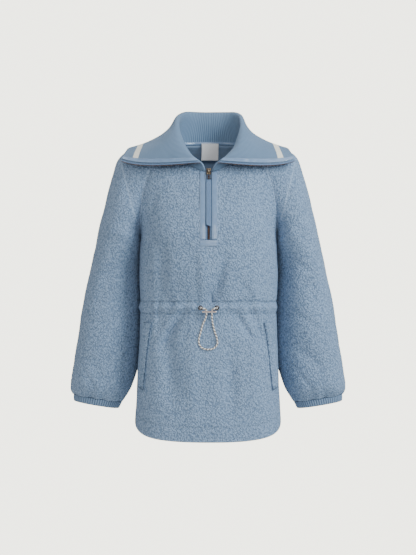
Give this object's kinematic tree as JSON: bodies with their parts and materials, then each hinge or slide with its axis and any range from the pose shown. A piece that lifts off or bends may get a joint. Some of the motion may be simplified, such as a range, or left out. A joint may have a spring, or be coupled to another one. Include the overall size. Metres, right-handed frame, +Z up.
{
  "type": "half-zip fleece pullover",
  "caption": "Long-line fleece pullover with raglan sleeves, a wide open rib collar, a half zip, a drawcord waist and slanted side pockets, filled out as if worn.",
  "frame": {"origin": "middle of the neck opening, at the height of the back neck seam less 19 mm, where a wearer's neck carries the garment", "axes": "+Z up, the front faces -Y, +X on the right of someone looking at the front"},
  "size_m": [0.663, 0.2484, 0.7872],
  "materials": {
    "fleece": "pebbled fleece",
    "rib_knit": "rib knit",
    "satin": "glossy satin",
    "zip_tape": "woven tape",
    "teeth_metal": "antique brass",
    "slider_metal": "gunmetal",
    "bar_metal": "polished",
    "pull_rubber": "matte",
    "label_cloth": "matte weave",
    "cord_yarn": "twisted yarn"
  },
  "bodies": {
    "garment": {"front": "fleece", "back": "fleece", "sleeve_left_front": "fleece", "sleeve_left_back": "fleece", "sleeve_right_front": "fleece", "sleeve_right_back": "fleece", "pocket_welt_left": "fleece", "pocket_welt_right": "fleece", "collar": "rib_knit", "cuff_left": "rib_knit", "cuff_right": "rib_knit", "collar_satin_left": "satin", "collar_satin_right": "satin", "neck_tape": "satin", "placket_satin_left": "satin", "placket_satin_right": "satin", "placket_base": "satin", "collar_tape_left": "zip_tape", "collar_tape_right": "zip_tape", "zip_tape_left": "zip_tape", "zip_tape_right": "zip_tape", "collar_teeth_left": "teeth_metal", "collar_teeth_right": "teeth_metal", "zip_teeth": "teeth_metal", "slider": "slider_metal", "eyelet_left": "slider_metal", "eyelet_right": "slider_metal", "cord_bar": "bar_metal", "drawcord": "cord_yarn", "label": "label_cloth"},
    "zip_pull": {"pull_loop": "pull_rubber", "pull_tab": "zip_tape"}
  },
  "joints": [
    {"name": "zip_pull_hinge", "type": "hinge", "parent": "garment", "child": "zip_pull", "pos_m": [0.00163, -0.0903, -0.05632], "axis": [-1, 0, 0], "range_deg": [0, 140]}
  ]
}
